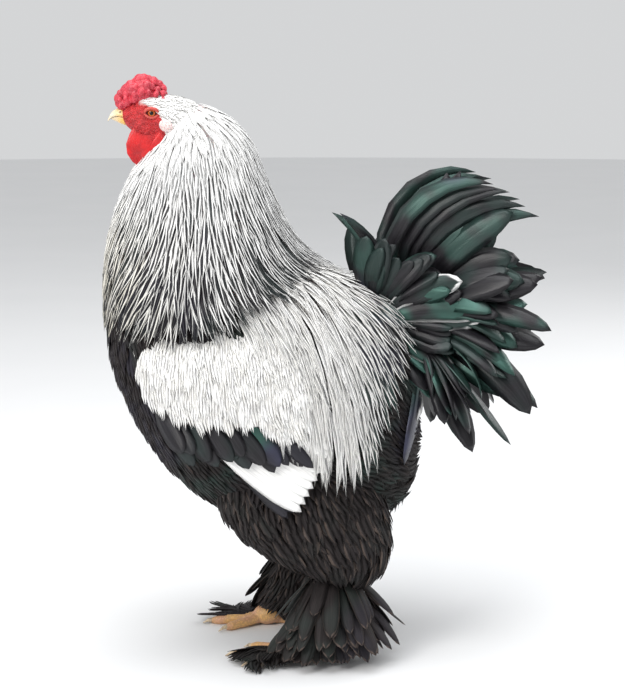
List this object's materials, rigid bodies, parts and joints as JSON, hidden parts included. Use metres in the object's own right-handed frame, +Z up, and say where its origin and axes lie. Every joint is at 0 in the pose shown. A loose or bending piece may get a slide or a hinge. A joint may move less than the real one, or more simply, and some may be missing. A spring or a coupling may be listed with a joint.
{
  "type": "brahma cockerel model",
  "caption": "Life-size standing brahma cockerel: pea comb, full cape, folded wings, fanned tail and feathered legs, resting on both feet.",
  "frame": {"origin": "on the floor, in the middle of the bird's bounding box", "axes": "the bird faces -X, its left side is towards -Y, +Z is up"},
  "size_m": [0.5038, 0.2788, 0.6444],
  "materials": {
    "face_skin": "bare red skin, finely wrinkled",
    "comb_skin": "red fleshy skin, softly glossy",
    "lobe_skin": "pale pink skin, matt",
    "horn": "yellow horn, smooth",
    "eye": "amber iris and black pupil under a clear wet dome",
    "cape_feathers": "white feathers with black centre stripes",
    "saddle_feathers": "white feathers with thin black stripes",
    "wing_feathers": "white feathers, black-green across the bar",
    "body_feathers": "black feathers, softly glossy",
    "tail_feathers": "black feathers with a green and violet sheen",
    "leg_feathers": "brown-black downy feathers with fine pale edges",
    "foot_skin": "scaly yellow skin"
  },
  "bodies": {
    "root": {"head": "face_skin", "beak_upper": "horn", "beak_lower": "horn", "comb": "comb_skin", "wattle_left": "comb_skin", "wattle_right": "comb_skin", "ear_lobe_left": "lobe_skin", "ear_lobe_right": "lobe_skin", "eye_left": "eye", "eye_right": "eye", "neck": "cape_feathers", "torso": "body_feathers", "saddle": "saddle_feathers", "wing_left": "wing_feathers", "wing_right": "wing_feathers", "tail": "tail_feathers", "thigh_left": "leg_feathers", "thigh_right": "leg_feathers", "shank_left": "leg_feathers", "shank_right": "leg_feathers", "foot_left": "foot_skin", "foot_right": "foot_skin", "claw_left_inner": "horn", "claw_left_middle": "horn", "claw_left_outer": "horn", "claw_left_hind": "horn", "claw_right_inner": "horn", "claw_right_middle": "horn", "claw_right_outer": "horn", "claw_right_hind": "horn"}
  },
  "joints": []
}
